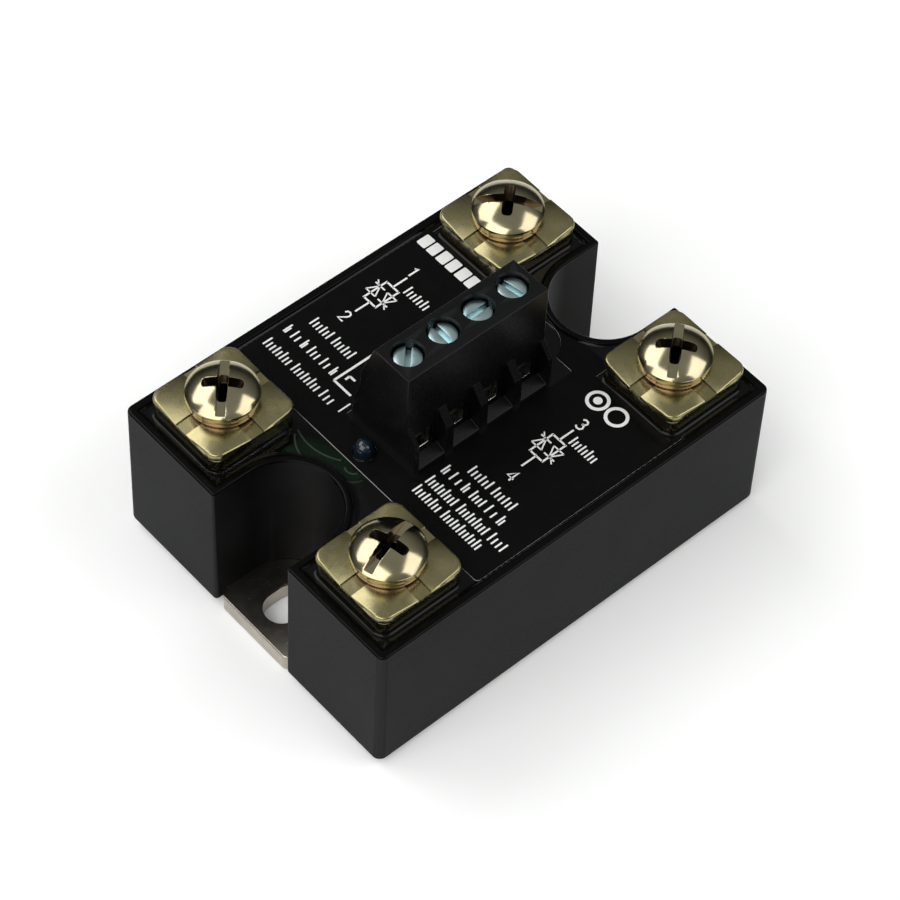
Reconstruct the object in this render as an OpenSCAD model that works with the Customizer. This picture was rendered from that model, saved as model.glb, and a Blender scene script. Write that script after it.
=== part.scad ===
// Two-pole panel-mount solid state relay with screw terminals.
// Origin: centre of the base plate's underside. +Z points up, +X along the long side.

/* [Base plate] */
// Length of the base plate inside the case
plate_l = 55.4; // [54:0.1:55.6]
// Width of the base plate
plate_w = 41.8; // [40:0.1:42]
// Thickness of the base plate
plate_t = 2.4; // [2:0.1:3]
// Overall length across the two end tongues
tongue_l = 57.7; // [57:0.1:58.4]
// Width of each end tongue
tongue_w = 11.8; // [10:0.1:12]
// Distance between the centres of the two fixing slots
slot_pitch = 47.6; // [46:0.1:48]
// Width of each fixing slot
slot_w = 4.4; // [4.2:0.1:5]
// End-to-end length of each fixing slot
slot_l = 6.0; // [5.2:0.1:7]

/* [Case] */
// Outer length of the case
case_l = 58.4; // [57.5:0.1:60]
// Outer width of the case
case_w = 44.8; // [44:0.1:46]
// Height of the rim above the mounting face
rim_z = 20.9; // [20.6:0.1:22]
// Gap between the mounting face and the lower edge of the case
case_lift = 1.15; // [0.5:0.05:1.5]
// Thickness of the side walls
wall = 1.25; // [1:0.05:1.3]
// Radius of the vertical corners
corner_r = 1.1; // [0.8:0.1:1.2]
// Inner radius of the round end of each notch
notch_r = 6.3; // [6:0.1:6.4]
// Thickness of the wall round each notch
notch_wall = 0.95; // [0.8:0.05:1]

/* [Resin and label] */
// Height of the resin's surface above the mounting face
resin_z = 20.45; // [20.3:0.05:20.6]
// Thickness of the label
label_t = 0.15; // [0.1:0.05:0.25]
// Length of the label
label_l = 31.6; // [31:0.1:32]
// Width of the label
label_w = 41.6; // [40:0.1:42]
// Corner radius of the label
label_r = 1.2; // [0.5:0.1:2]
// Offset of the label's centre along X
label_x = 1.6; // [1.4:0.1:1.8]

/* [Output terminals] */
// Distance of the terminal screws from the YZ plane
term_x = 21.25; // [21:0.05:21.4]
// Distance of the terminal screws from the XZ plane
term_y = 14.15; // [14:0.05:14.3]
// Side of the fixed terminal block
pad_s = 11.4; // [11:0.1:11.6]
// Height of the fixed terminal's top face
pad_z = 22.8; // [22.6:0.1:23]
// Side of the square clamp plate
clamp_s = 12.0; // [11.6:0.1:12.2]
// Thickness of the clamp plate
clamp_t = 1.0; // [0.8:0.1:1.2]
// Depth of the grooves in the clamp plate, and height of the ribs below it
groove_h = 0.2; // [0.1:0.05:0.3]
// Width of the grooves
groove_w = 1.8; // [1.4:0.1:2]
// Outer diameter of the spring washer
washer_d = 8.0; // [7.6:0.1:8.4]
// Thickness of the spring washer
washer_t = 1.0; // [0.8:0.1:1.2]
// Diameter of the screw head
head_d = 8.6; // [8:0.1:9]
// Height of the screw head
head_h = 2.5; // [2.3:0.1:2.8]
// Diameter of the screw's shank
shank_d = 3.92; // [3.9:0.02:3.96]
// Length of the screw below its head
shank_l = 10.5; // [10:0.1:11]

/* [Control terminal block] */
// Distance between neighbouring poles
pole_pitch = 5.08; // [5:0.04:5.08]
// Number of poles
poles = 4; // [4]
// Offset of the block's centre along X
block_x = 0.45; // [0.3:0.05:0.6]
// Height of the block's top face above the mounting face
block_top = 35.3; // [35:0.1:36]
// Distance of the control screws from the XZ plane, towards -Y
cscrew_y = 0.65; // [0.6:0.05:0.7]
// Diameter of the control screw's head
chead_d = 3.4; // [3.2:0.1:3.5]
// Diameter of the control screw's shank
cshank_d = 2.4; // [2.3:0.02:2.4]
// Inner width of the wire entries
entry_w = 2.7; // [2.4:0.1:2.8]

/* [Circuit board] */
// Height of the board's top face above the mounting face
board_z = 18.5; // [18.4:0.1:18.6]
// Thickness of the board
board_t = 1.6; // [1.5:0.1:1.6]
// Diameter of the LED
led_d = 2.4; // [2.2:0.1:2.6]
// Height of the LED's tip above the mounting face
led_top = 22.5; // [22:0.1:22.8]

/* [Power stage] */
// Length of each ceramic tile
tile_l = 32; // [31:0.5:33]
// Width of each ceramic tile
tile_w = 15; // [14.5:0.5:15]
// Distance of each tile's centre line from the XZ plane
tile_y = 11.75; // [11.5:0.05:12]
// Side of a thyristor die
die_s = 6.4; // [5.6:0.1:6.4]

/* [Hidden] */
$fn = 72;
eps = 0.5;                                    // how far a cut runs past a face
bore_gap = 0.05;                              // radial running clearance of the screw threads

side_x = case_l / 2;
notch_x = slot_pitch / 2;
tongue_r = 0.8;
plate_r = 1.6;
cavity_r = 0.3;                               // inner corners of the case
resin_gap = 0.02;                             // hairline between the resin and what stands in it

clamp_z = pad_z + groove_h;                   // underside of the clamp plate
washer_z = clamp_z + clamp_t;
head_z = washer_z + washer_t;                 // underside of the output screw's head
head_rim = 1.0;                               // straight part of the head
head_slot_w = 1.2;
head_slot_h = 1.3;
cross_l = 4.8;
cross_h = 1.9;
pad_r = 1.2;                                  // corner radius of the fixed terminal
pad_bottom = 17.4;
boss_d = 8;
boss_bottom = 12.2;
strap_w = 6;
strap_t = 1.0;
strap_foot = 3.4;
strap_x = 6.15;                               // outer face of the strap from the screw's axis
strap_gap = 0.3;                              // space between the strap and the board's top face
clamp_r = 1.5;
clamp_hole = 4.4;
washer_hole = 4.3;
washer_split = 0.5;
slot_turn = [-48, 47, 40, 15];                // direction of each output screw's slot
TERM = [[1, 1], [-1, 1], [1, -1], [-1, -1]];  // corner of each output terminal

block_l = poles * pole_pitch + 0.1;
block_front = -5.3;                           // foot of the block
block_face = -3.75;                           // front wall above the wire entries
block_back = 5.5;
entry_z = 21.2;                               // sill of the wire entries
entry_top = 24.8;
pocket_w = 3.7;
pocket_front = -3.35;
pocket_back = 2.1;
pocket_z = 20.5;
pocket_top = 28.6;
cage_w = 3.3;
cage_front = -3.15;
cage_back = 1.85;
cage_wall = 0.35;
cage_z = 20.6;                                // lower edge of a cage when it is open
cage_sill = 0.5;
cage_top = 26.1;
cage_nut = 1.2;                               // thickness of a cage's threaded top
bar_z = 22.95;                                // underside of a contact bar
bar_t = 0.8;
bar_w = 2.1;
bar_end = 2.9;
bar_leg = 0.7;                                // thickness of a contact bar's leg and pin
pin_bottom = 15.4;
chead_z = 33.1;                               // underside of the control screw's head
chead_top = 34.6;
ctip_z = bar_z + bar_t + 0.05;                // tip of the control screw
cslot_turn = [45, 88, 2, -80];
function pole_x(i) = block_x + (i - (poles - 1) / 2) * pole_pitch;

LED_X = [-12.15, 12.6];
led_y = 0.55;
flange_d = 3.0;
flange_h = 1.0;
lead_gap = 1.8;
lead_s = 0.4;
led_hole = led_d + 0.5;                       // hole in the label round the left LED
led_cut = 7.4;                                // round cut in the label beside the right LED
led_cut_x = LED_X[1] - 0.3;

copper_t = 0.3;
ceramic_t = 0.63;
solder_t = 0.12;
die_t = 0.4;
back_z = plate_t + solder_t;
tile_z = back_z + copper_t;
track_z = tile_z + ceramic_t;
die_z = track_z + copper_t;
clip_z = die_z + die_t;
die_u = 4.6;
die_v = 3.5;
clip_w = 4;
clip_t = 0.6;
gate_u = 9;
sense_u = 6.4;
gate_v = 6.1;
gate_d = 0.8;
clip_reach = 1.9;                             // how far a clip runs past a die's centre and past the middle
die_r = 0.2;
tile_r = 0.3;
back_r = 0.5;
back_margin = 0.5;
board_l = 29.4;
board_w = 42.2;
wing_l = 37.2;
wing_w = 15.8;
board_notch_r = notch_r + notch_wall + 0.35;
board_r = 1;
pin_hole = 1.3;
lead_hole = 0.7;

// Parts on the board's underside: distance along X and Y, then length, width and height.
COUPLER = [5.4, 0, 8.6, 6.4, 3.4];
GATE_RESISTOR = [12.3, -2.4, 3.2, 1.6, 0.55];
SNUBBER_RESISTOR = [0, 7.2, 6.4, 3.2, 0.6];
SNUBBER_CAPACITOR = [6.2, -1.4, 11, 5, 8.5];
REGULATOR = [15.2, 6.2, 4.5, 2.5, 1.5];
DIODE = [15.2, -6.2, 4.3, 2.6, 2.1];

// ---- shared shapes -------------------------------------------------------------------------

// A block centred in X and Y, standing on z, with round vertical corners.
module rounded_block(l, w, z, h, r) {
    translate([0, 0, z]) linear_extrude(h) rounded_rect(l, w, r);
}

module rounded_rect(l, w, r) {
    square([l - 2 * r, w], center = true);
    square([l, w - 2 * r], center = true);
    for (sx = [-1, 1], sy = [-1, 1])
        translate([sx * (l / 2 - r), sy * (w / 2 - r)]) circle(r);
}

module block_between(x0, x1, y0, y1, z0, z1) {
    translate([x0, y0, z0]) cube([x1 - x0, y1 - y0, z1 - z0]);
}

// Outline of one end notch of radius r, open towards the end face.
module notch_outline(side, r, reach) {
    translate([side * notch_x, 0]) circle(r);
    translate([side * (notch_x + reach) / 2, 0]) square([reach - notch_x, 2 * r], center = true);
}

module at_terminal(i) {
    translate([TERM[i - 1][0] * term_x, TERM[i - 1][1] * term_y, 0]) children();
}

// Places a channel's power stage: channel 1 on +Y, channel 2 mirrored to -Y.
module at_channel(c) {
    mirror([0, c == 2 ? 1 : 0, 0]) translate([0, tile_y, 0]) children();
}

// ---- frame and covers ----------------------------------------------------------------------

module base_plate() {
    color([0.78, 0.75, 0.68]) difference() {
        union() {
            rounded_block(plate_l, plate_w, 0, plate_t, plate_r);
            rounded_block(tongue_l, tongue_w, 0, plate_t, tongue_r);
        }
        for (side = [-1, 1]) translate([side * notch_x, 0, -eps]) linear_extrude(plate_t + 2 * eps) {
            for (end = [-1, 1])
                translate([end * (slot_l - slot_w) / 2, 0]) circle(d = slot_w);
            square([slot_l - slot_w, slot_w], center = true);
        }
    }
}

module case_shell() {
    inner_l = case_l - 2 * wall;
    inner_w = case_w - 2 * wall;
    color([0.09, 0.09, 0.1]) difference() {
        union() {
            difference() {
                rounded_block(case_l, case_w, case_lift, rim_z - case_lift, corner_r);
                rounded_block(inner_l, inner_w, 0, rim_z + eps, cavity_r);
            }
            for (side = [-1, 1]) intersection() {
                translate([0, 0, plate_t]) linear_extrude(rim_z - plate_t)
                    notch_outline(side, notch_r + notch_wall, side_x);
                block_between(-side_x + wall / 2, side_x - wall / 2, -case_w / 2, case_w / 2, 0, rim_z);
            }
        }
        for (side = [-1, 1]) linear_extrude(rim_z + eps)
            notch_outline(side, notch_r, side_x + eps);
    }
}

module potting_resin() {
    depth = resin_z - board_z;
    inner_l = case_l - 2 * (wall + resin_gap);
    inner_w = case_w - 2 * (wall + resin_gap);
    color([0.03, 0.03, 0.03]) difference() {
        rounded_block(inner_l, inner_w, board_z, depth, cavity_r);
        translate([0, 0, board_z - eps]) linear_extrude(depth + 2 * eps) for (side = [-1, 1])
            notch_outline(side, notch_r + notch_wall + resin_gap, side_x);
        for (i = [1:4]) at_terminal(i)
            rounded_block(pad_s, pad_s, board_z - eps, depth + 2 * eps, pad_r);
        block_between(block_x - block_l / 2, block_x + block_l / 2, block_front, block_back,
            board_z - eps, rim_z);
        for (x = LED_X) translate([x, led_y, board_z - eps]) {
            cylinder(d = led_d + 2 * resin_gap, h = depth + 2 * eps);
            cylinder(d = flange_d + 2 * resin_gap, h = flange_h + resin_gap + eps);
        }
    }
}

module label() {
    window_gap = 0.55;
    window_end = 2.9;
    pad_gap = 0.4;
    wall_gap = 0.15;
    color([0.05, 0.05, 0.05]) translate([0, 0, resin_z]) linear_extrude(label_t) difference() {
        translate([label_x, 0]) rounded_rect(label_l, label_w, label_r);
        translate([block_x - block_l / 2 - window_gap, block_front - window_gap])
            square([block_l + window_gap + window_end, block_back - block_front + 2 * window_gap]);
        translate([LED_X[0], led_y]) circle(d = led_hole);
        translate([led_cut_x, led_y]) circle(d = led_cut);
        notch_outline(1, notch_r + notch_wall + wall_gap, side_x);
        for (t = TERM) translate([t[0] * term_x, t[1] * term_y])
            square(pad_s + 2 * pad_gap, center = true);
    }
}

// ---- output terminals ----------------------------------------------------------------------

// Fixed terminal: square head, threaded boss below it and a strap down to the ceramic tile.
module output_terminal(i) {
    strap_top = board_z - strap_gap;
    inner_x = -strap_x + strap_t;
    color([0.74, 0.7, 0.58]) at_terminal(i) difference() {
        union() {
            rounded_block(pad_s, pad_s, pad_bottom, pad_z - pad_bottom, pad_r);
            translate([0, 0, boss_bottom]) cylinder(d = boss_d, h = pad_bottom - boss_bottom);
            mirror([TERM[i - 1][0] > 0 ? 0 : 1, 0, 0]) {
                block_between(-strap_x, inner_x, -strap_w / 2, strap_w / 2, die_z, strap_top);
                block_between(-strap_x, -pad_s / 2 + 1, -strap_w / 2, strap_w / 2, pad_bottom, strap_top);
                block_between(inner_x - strap_foot, inner_x, -strap_w / 2, strap_w / 2,
                    die_z, die_z + strap_t);
            }
        }
        translate([0, 0, boss_bottom - eps])
            cylinder(d = shank_d + 2 * bore_gap, h = pad_z - boss_bottom + 2 * eps);
    }
}

// Square clamp plate with a cross of shallow grooves on top and matching ribs below.
module clamp_plate(i) {
    rib_w = groove_w - 0.4;
    rib_end = pad_s / 2 - 0.4;
    color([0.72, 0.68, 0.52]) at_terminal(i) difference() {
        union() {
            rounded_block(clamp_s, clamp_s, clamp_z, clamp_t, clamp_r);
            for (turn = [0, 90]) rotate(turn)
                block_between(-rib_end, rib_end, -rib_w / 2, rib_w / 2, pad_z, clamp_z + groove_h);
        }
        for (turn = [0, 90]) rotate(turn)
            block_between(-clamp_s, clamp_s, -groove_w / 2, groove_w / 2, washer_z - groove_h, head_z);
        translate([0, 0, pad_z - eps]) cylinder(d = clamp_hole, h = head_z - pad_z + eps);
    }
}

module spring_washer(i) {
    color([0.8, 0.72, 0.66]) at_terminal(i) difference() {
        translate([0, 0, washer_z]) cylinder(d = washer_d, h = washer_t);
        translate([0, 0, washer_z - eps]) cylinder(d = washer_hole, h = washer_t + 2 * eps);
        rotate(slot_turn[i - 1] + 60)
            block_between(0, washer_d, -washer_split / 2, washer_split / 2, washer_z - eps, head_z + eps);
    }
}

// Pan-head screw with a straight slot across a cross recess.
module output_screw(i) {
    dome_h = head_h - head_rim;
    dome_r = (pow(head_d / 2, 2) + pow(dome_h, 2)) / (2 * dome_h);
    top = head_z + head_h;
    color([0.78, 0.74, 0.6]) at_terminal(i) rotate(slot_turn[i - 1]) difference() {
        union() {
            intersection() {
                translate([0, 0, head_z]) cylinder(d = head_d, h = head_h);
                translate([0, 0, top - dome_r]) sphere(dome_r);
            }
            translate([0, 0, head_z - shank_l]) cylinder(d = shank_d, h = shank_l + head_rim);
        }
        block_between(-head_d, head_d, -head_slot_w / 2, head_slot_w / 2, top - head_slot_h, top + eps);
        rotate(90) block_between(-cross_l / 2, cross_l / 2, -head_slot_w / 2, head_slot_w / 2,
            top - cross_h, top + eps);
    }
}

// ---- control terminal block ----------------------------------------------------------------

module terminal_housing() {
    cut_w = 3.9;                              // width of the recess between two dividers
    cut_top = 27.5;
    sill_drop = 0.75;
    ledge_d = cshank_d + 0.2;
    well_d = chead_d + 0.35;
    leg_gap = 0.1;
    color([0.07, 0.07, 0.08]) difference() {
        translate([block_x - block_l / 2, 0, 0]) rotate([90, 0, 90]) linear_extrude(block_l)
            polygon([[block_front, board_z], [block_back, board_z], [block_back, 23.2], [4.2, 27.2],
                [4.1, 29.9], [2.0, block_top], [block_face, block_top], [block_face, 26.9],
                [block_front, 24.9]]);
        for (i = [0:poles - 1]) translate([pole_x(i), 0, 0]) {
            // recess in front of the wire entry, with a sloping sill
            rotate([90, 0, 90]) translate([0, 0, -cut_w / 2]) linear_extrude(cut_w)
                polygon([[block_front - eps, entry_z - sill_drop], [block_face, entry_z],
                    [block_face, cut_top], [block_front - eps, cut_top]]);
            // wire entry and the cage's pocket
            block_between(-entry_w / 2, entry_w / 2, block_face - eps, pocket_front + eps,
                entry_z, entry_top);
            block_between(-pocket_w / 2, pocket_w / 2, pocket_front, pocket_back, pocket_z, pocket_top);
            // slot for the contact bar's leg
            block_between(-bar_w / 2 - leg_gap, bar_w / 2 + leg_gap, pocket_back - eps, bar_end + leg_gap,
                board_z - eps, bar_z + bar_t + leg_gap);
            // screw well with a ledge under the head
            translate([0, -cscrew_y, chead_z]) cylinder(d = well_d, h = block_top);
            translate([0, -cscrew_y, pocket_top - eps]) cylinder(d = ledge_d, h = block_top);
        }
    }
}

module contact_bars() {
    leg_y = bar_end - bar_leg;
    pin_w = 1;
    color([0.8, 0.76, 0.66]) for (i = [0:poles - 1]) translate([pole_x(i), 0, 0]) {
        block_between(-bar_w / 2, bar_w / 2, cage_front + 0.15, bar_end, bar_z, bar_z + bar_t);
        block_between(-bar_w / 2, bar_w / 2, leg_y, bar_end, board_z, bar_z);
        block_between(-pin_w / 2, pin_w / 2, leg_y, bar_end, pin_bottom, board_z);
    }
}

module wire_cage(i) {
    bore = cshank_d + 2 * bore_gap;
    nut_z = cage_top - cage_nut;
    color([0.82, 0.8, 0.74]) translate([pole_x(i - 1), 0, 0]) difference() {
        block_between(-cage_w / 2, cage_w / 2, cage_front, cage_back, cage_z, cage_top);
        block_between(-cage_w / 2 + cage_wall, cage_w / 2 - cage_wall, cage_front - eps, cage_back + eps,
            cage_z + cage_sill, nut_z);
        translate([0, -cscrew_y, nut_z - eps]) cylinder(d = bore, h = cage_nut + 2 * eps);
    }
}

module control_screw(i) {
    cslot_w = 0.7;
    cslot_h = 0.8;
    color([0.72, 0.78, 0.8]) translate([pole_x(i - 1), -cscrew_y, 0]) rotate(cslot_turn[i - 1])
        difference() {
            union() {
                translate([0, 0, chead_z]) cylinder(d = chead_d, h = chead_top - chead_z);
                translate([0, 0, ctip_z]) cylinder(d = cshank_d, h = chead_z - ctip_z + eps);
            }
            block_between(-chead_d, chead_d, -cslot_w / 2, cslot_w / 2, chead_top - cslot_h, block_top);
        }
}

// ---- circuit board and what is on it --------------------------------------------------------

module circuit_board() {
    pin_y = bar_end - bar_leg / 2;
    color([0.05, 0.3, 0.12]) translate([0, 0, board_z - board_t]) linear_extrude(board_t) difference() {
        union() {
            rounded_rect(board_l, board_w, board_r);
            rounded_rect(wing_l, wing_w, board_r);
        }
        for (side = [-1, 1]) notch_outline(side, board_notch_r, side_x);
        for (i = [0:poles - 1]) translate([pole_x(i), pin_y]) circle(d = pin_hole);
        for (x = LED_X, end = [-1, 1])
            translate([x, led_y + end * lead_gap / 2]) circle(d = lead_hole);
        for (c = [1, 2]) at_channel(c) gate_positions() circle(d = gate_d + 0.2);
    }
}

module led_lens(x) {
    r = led_d / 2;
    lap = 0.01;
    color([0.45, 0.6, 0.75]) translate([x, led_y, 0]) {
        translate([0, 0, board_z]) cylinder(d = flange_d, h = flange_h);
        translate([0, 0, board_z]) cylinder(r = r, h = led_top - r - board_z);
        translate([0, 0, led_top - r]) intersection() {
            sphere(r);
            translate([0, 0, r - lap]) cube(2 * r, center = true);
        }
    }
}

module led_leads() {
    color([0.8, 0.8, 0.8]) for (x = LED_X, end = [-1, 1])
        translate([x, led_y + end * lead_gap / 2, 0])
            block_between(-lead_s / 2, lead_s / 2, -lead_s / 2, lead_s / 2, pin_bottom, board_z);
}

// Bodies of one kind hung below the board, one on each side of the YZ plane.
module under_board(part) {
    top = board_z - board_t;
    for (side = part[0] == 0 ? [1] : [-1, 1]) translate([side * part[0], part[1], 0])
        rounded_block(part[2], part[3], top - part[4], part[4], part[3] / 10);
}

module phototriac_couplers() {
    color([0.12, 0.12, 0.13]) for (c = [1, 2]) at_channel(c) under_board(COUPLER);
}

module gate_resistors() {
    color([0.1, 0.1, 0.1]) for (c = [1, 2]) at_channel(c) under_board(GATE_RESISTOR);
}

module snubber_resistors() {
    color([0.1, 0.1, 0.1]) for (c = [1, 2]) at_channel(c) under_board(SNUBBER_RESISTOR);
}

module snubber_capacitors() {
    color([0.75, 0.15, 0.1]) under_board(SNUBBER_CAPACITOR);
}

module input_regulators() {
    color([0.1, 0.1, 0.1]) under_board(REGULATOR);
}

module input_diodes() {
    color([0.1, 0.1, 0.1]) under_board(DIODE);
}

// ---- power stage ---------------------------------------------------------------------------

module gate_positions() {
    for (side = [-1, 1], u = [gate_u, sense_u]) translate([side * u, side * gate_v, 0]) children();
}

// Copper and solder between the ceramic tile and the base plate.
module tile_back_copper(c) {
    color([0.72, 0.42, 0.25]) at_channel(c)
        rounded_block(tile_l - 2 * back_margin, tile_w - 2 * back_margin, plate_t,
            solder_t + copper_t, back_r);
}

module ceramic_tile(c) {
    color([0.92, 0.92, 0.9]) at_channel(c) rounded_block(tile_l, tile_w, tile_z, ceramic_t, tile_r);
}

// Two main copper areas and a small gate island beside each.
module tile_tracks(c) {
    edge = 0.6;
    split = 0.8;
    half = 1.1;                               // half the width of a gate island
    moat = half + 0.4;
    end_u = tile_l / 2 - edge;
    end_v = tile_w / 2 - edge;
    color([0.8, 0.5, 0.3]) at_channel(c) for (side = [-1, 1]) scale([side, side, 1]) {
        difference() {
            block_between(split, end_u, -end_v, end_v, track_z, die_z);
            block_between(gate_u - moat, gate_u + moat, gate_v - moat, tile_w, track_z - eps, die_z + eps);
        }
        block_between(gate_u - half, gate_u + half, gate_v - half, end_v, track_z, die_z);
    }
}

module thyristor_dies(c) {
    color([0.35, 0.37, 0.42]) at_channel(c) for (side = [-1, 1])
        translate([side * die_u, -side * die_v, 0]) rounded_block(die_s, die_s, die_z, die_t, die_r);
}

// Each clip joins the top of one die to the copper area of the other.
module cathode_clips(c) {
    low = -die_v - clip_w / 2;
    high = -die_v + clip_w / 2;
    foot = -clip_reach - clip_w / 2;
    color([0.82, 0.52, 0.32]) at_channel(c) for (side = [-1, 1]) scale([side, side, 1]) {
        block_between(foot, die_u + clip_reach, low, high, clip_z, clip_z + clip_t);
        block_between(foot, -clip_reach, low, high, die_z, clip_z);
    }
}

module gate_pins(c) {
    recess = 0.1;
    color([0.85, 0.8, 0.6]) at_channel(c) gate_positions()
        translate([0, 0, die_z]) cylinder(d = gate_d, h = board_z - recess - die_z);
}

base_plate();
case_shell();
potting_resin();
label();
terminal_housing();
contact_bars();
circuit_board();
led_lens(LED_X[0]);  // led_lens_1
led_lens(LED_X[1]);  // led_lens_2
led_leads();
output_terminal(1);  // output_terminal_1
output_terminal(2);  // output_terminal_2
output_terminal(3);  // output_terminal_3
output_terminal(4);  // output_terminal_4
clamp_plate(1);  // clamp_plate_1
clamp_plate(2);  // clamp_plate_2
clamp_plate(3);  // clamp_plate_3
clamp_plate(4);  // clamp_plate_4
spring_washer(1);  // spring_washer_1
spring_washer(2);  // spring_washer_2
spring_washer(3);  // spring_washer_3
spring_washer(4);  // spring_washer_4
output_screw(1);  // output_screw_1
output_screw(2);  // output_screw_2
output_screw(3);  // output_screw_3
output_screw(4);  // output_screw_4
control_screw(1);  // control_screw_1
control_screw(2);  // control_screw_2
control_screw(3);  // control_screw_3
control_screw(4);  // control_screw_4
wire_cage(1);  // wire_cage_1
wire_cage(2);  // wire_cage_2
wire_cage(3);  // wire_cage_3
wire_cage(4);  // wire_cage_4
tile_back_copper(1);  // tile_back_copper_1
tile_back_copper(2);  // tile_back_copper_2
ceramic_tile(1);  // ceramic_tile_1
ceramic_tile(2);  // ceramic_tile_2
tile_tracks(1);  // tile_tracks_1
tile_tracks(2);  // tile_tracks_2
thyristor_dies(1);  // thyristor_dies_1
thyristor_dies(2);  // thyristor_dies_2
cathode_clips(1);  // cathode_clips_1
cathode_clips(2);  // cathode_clips_2
gate_pins(1);  // gate_pins_1
gate_pins(2);  // gate_pins_2
phototriac_couplers();
gate_resistors();
snubber_resistors();
snubber_capacitors();
input_regulators();
input_diodes();
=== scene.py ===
"""Looks of a two-pole solid state relay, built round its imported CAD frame.

Lengths in the code are millimetres.
"""

import functools
import math

import bmesh
import bpy
import numpy as np
from mathutils import Matrix, Vector
from mathutils.geometry import delaunay_2d_cdt

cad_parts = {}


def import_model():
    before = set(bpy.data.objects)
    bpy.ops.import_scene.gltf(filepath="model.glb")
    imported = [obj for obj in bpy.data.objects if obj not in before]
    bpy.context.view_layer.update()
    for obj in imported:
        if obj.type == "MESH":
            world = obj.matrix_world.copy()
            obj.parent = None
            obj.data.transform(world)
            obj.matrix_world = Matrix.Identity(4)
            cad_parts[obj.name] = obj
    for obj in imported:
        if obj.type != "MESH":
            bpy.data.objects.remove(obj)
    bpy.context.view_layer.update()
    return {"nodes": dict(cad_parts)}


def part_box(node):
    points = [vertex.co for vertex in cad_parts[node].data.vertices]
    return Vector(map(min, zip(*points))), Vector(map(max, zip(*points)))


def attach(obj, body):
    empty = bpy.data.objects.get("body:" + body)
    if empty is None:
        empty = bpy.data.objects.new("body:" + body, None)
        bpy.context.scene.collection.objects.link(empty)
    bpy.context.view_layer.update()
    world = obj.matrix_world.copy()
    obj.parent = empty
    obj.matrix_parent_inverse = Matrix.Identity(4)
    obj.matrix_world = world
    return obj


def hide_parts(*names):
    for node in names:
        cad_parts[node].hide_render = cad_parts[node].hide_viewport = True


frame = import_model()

MM = 0.001
SCENE = bpy.context.scene


# ---- sizes ---------------------------------------------------------------------------------

@functools.cache
def box(node):
    """Lowest and highest corners of a CAD node, in millimetres."""
    low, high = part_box(node)
    return low / MM, high / MM


def middle(node):
    low, high = box(node)
    return (low + high) / 2


CASE_LOW, CASE_HIGH = box("case_shell")
PLATE_HIGH = box("base_plate")[1]
RESIN_LOW, RESIN_HIGH = box("potting_resin")
LABEL_LOW, LABEL_HIGH = box("label")
BLOCK_LOW, BLOCK_HIGH = box("terminal_housing")
BOARD_HIGH = box("circuit_board")[1]
TERMINALS = range(1, 5)
LEDS = (1, 2)

WALL = 1.25                 # thickness of the case's side walls
NOTCH_WALL = 0.95           # thickness of the wall round each end notch
NOTCH_X = 23.8              # centre of each notch's round end
NOTCH_R = 6.3
CORNER_R = 1.1
MOUTH_R = 0.45              # rounding where a notch meets the end face
DRAFT = 0.14                # how far the walls lean in over their height
STEP_X = 27.68              # inside this the notch wall stands on the base plate
RIM_R = 0.3
RIM_INNER_R = 0.2
CASE_FOOT_R = 0.12

RESIN_GAP = 0.02
MENISCUS_H = 0.3
MENISCUS_L = 0.2

PAD_R = 1.2                 # corner radius of a fixed terminal
CLAMP_R = 1.5
CLAMP_T = 1.0
CLAMP_HOLE_R = 2.2
CLAMP_EDGE_R = 0.3          # rounding of the clamp plate's upper edge
CLAMP_FOOT_R = 0.12         # rounding of its lower edge
GROOVE_W = 1.8
GROOVE_D = 0.2
RIB_W = 1.4
RIB_END = 0.55              # how far the ribs stop short of the plate's edge

WASHER_HOLE_R = 2.15
WASHER_RISE = 0.05          # how far the washer's ends spring apart, half each way
HEAD_H = 2.5                # output screw
HEAD_RIM = 1.0
HEAD_SLOT_W = 1.2
HEAD_SLOT_D = 1.3
SHANK_R = 1.96
PITCH = 0.7
CONTROL_HEAD_H = 1.5        # control screw
CONTROL_SLOT_W = 0.7
CONTROL_SLOT_D = 0.8
CONTROL_SHANK_R = 1.2
CONTROL_PITCH = 0.45
SLOT_TURN = (-48, 47, 40, 15)       # direction of each output screw's slot, in degrees
CONTROL_SLOT_TURN = (45, 88, 2, -80)

LED_FLANGE = 0.3            # how far the flange stands out from the lens
LED_FLANGE_H = 1.0


# ---- mesh tools ----------------------------------------------------------------------------

def arc(cx, cy, r, start, end, steps):
    """Points on an arc, both ends included. Angles are in degrees."""
    angles = [math.radians(start + (end - start) * k / steps) for k in range(steps + 1)]
    return [(cx + r * math.cos(a), cy + r * math.sin(a)) for a in angles]


def circle(cx, cy, r, steps=48):
    return arc(cx, cy, r, 0, 360, steps)[:-1]


def rounded_rect(cx, cy, half_x, half_y, r, steps=8):
    """Counter-clockwise loop of a rectangle with round corners."""
    loop = []
    for sx, sy, start in ((1, -1, -90), (1, 1, 0), (-1, 1, 90), (-1, -1, 180)):
        loop += arc(cx + sx * (half_x - r), cy + sy * (half_y - r), r, start, start + 90, steps)
    return loop


def at_height(loop, z):
    return [(x, y, z) for x, y in loop]


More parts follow.
